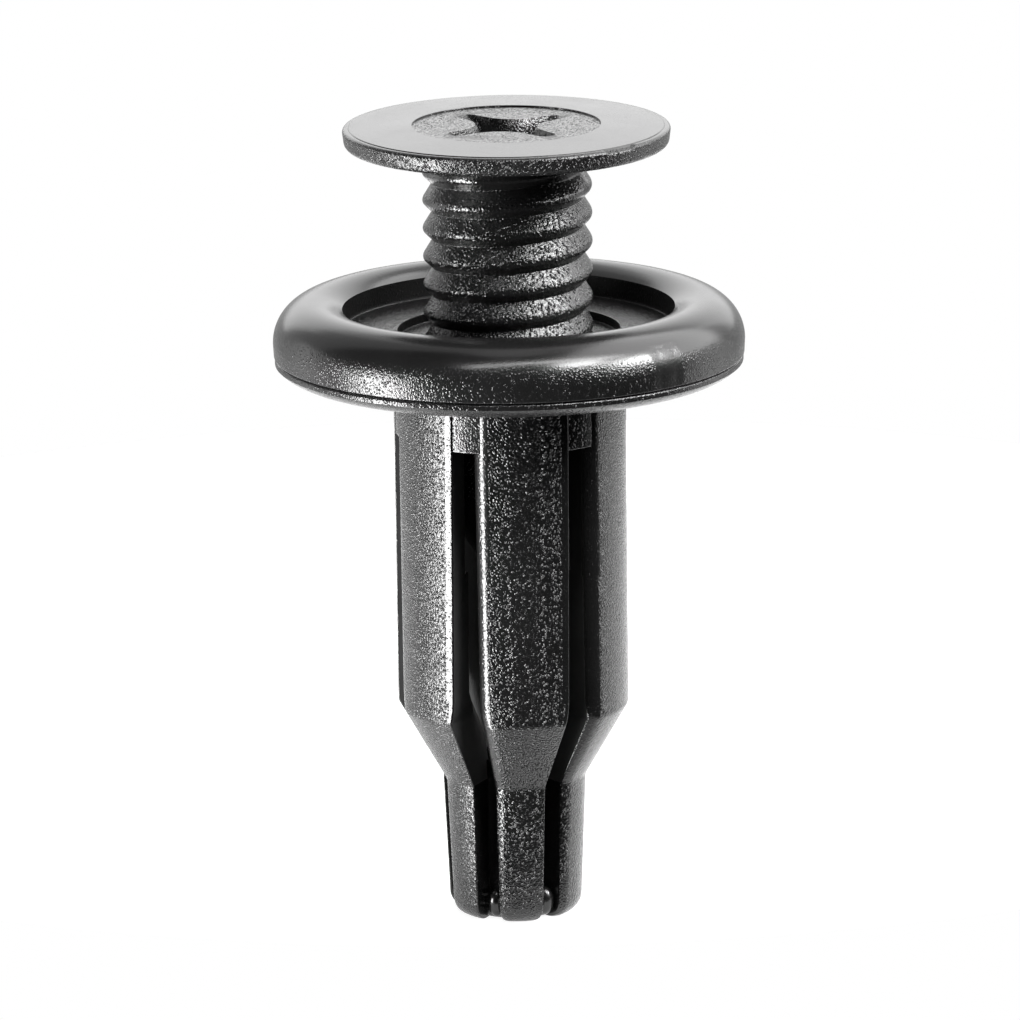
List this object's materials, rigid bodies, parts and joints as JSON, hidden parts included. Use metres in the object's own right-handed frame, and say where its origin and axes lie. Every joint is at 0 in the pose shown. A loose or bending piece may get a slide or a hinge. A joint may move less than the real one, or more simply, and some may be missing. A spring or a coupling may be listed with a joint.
{
  "type": "plastic screw push rivet",
  "caption": "Black nylon screw push rivet: a flanged, slotted grommet for a 10 mm panel hole and the threaded pin with a cross recess that spreads its legs.",
  "frame": {"origin": "centre of the stem where it meets the underside of the flange, the face that lies on the panel", "axes": "+Z along the rivet's axis, out of the panel towards the pin's head; -Y through the middle of one leg"},
  "size_m": [0.02, 0.02, 0.0343],
  "materials": {
    "grommet_nylon": "black nylon, fine spark-eroded satin grain",
    "pin_nylon": "black nylon, fine spark-eroded satin grain"
  },
  "bodies": {
    "grommet": {"grommet": "grommet_nylon"},
    "pin": {"screw_pin": "pin_nylon"}
  },
  "joints": [
    {"name": "pin_push", "type": "slide", "parent": "grommet", "child": "pin", "axis": [0, 0, -1], "range_m": [0, 0.00785]}
  ]
}
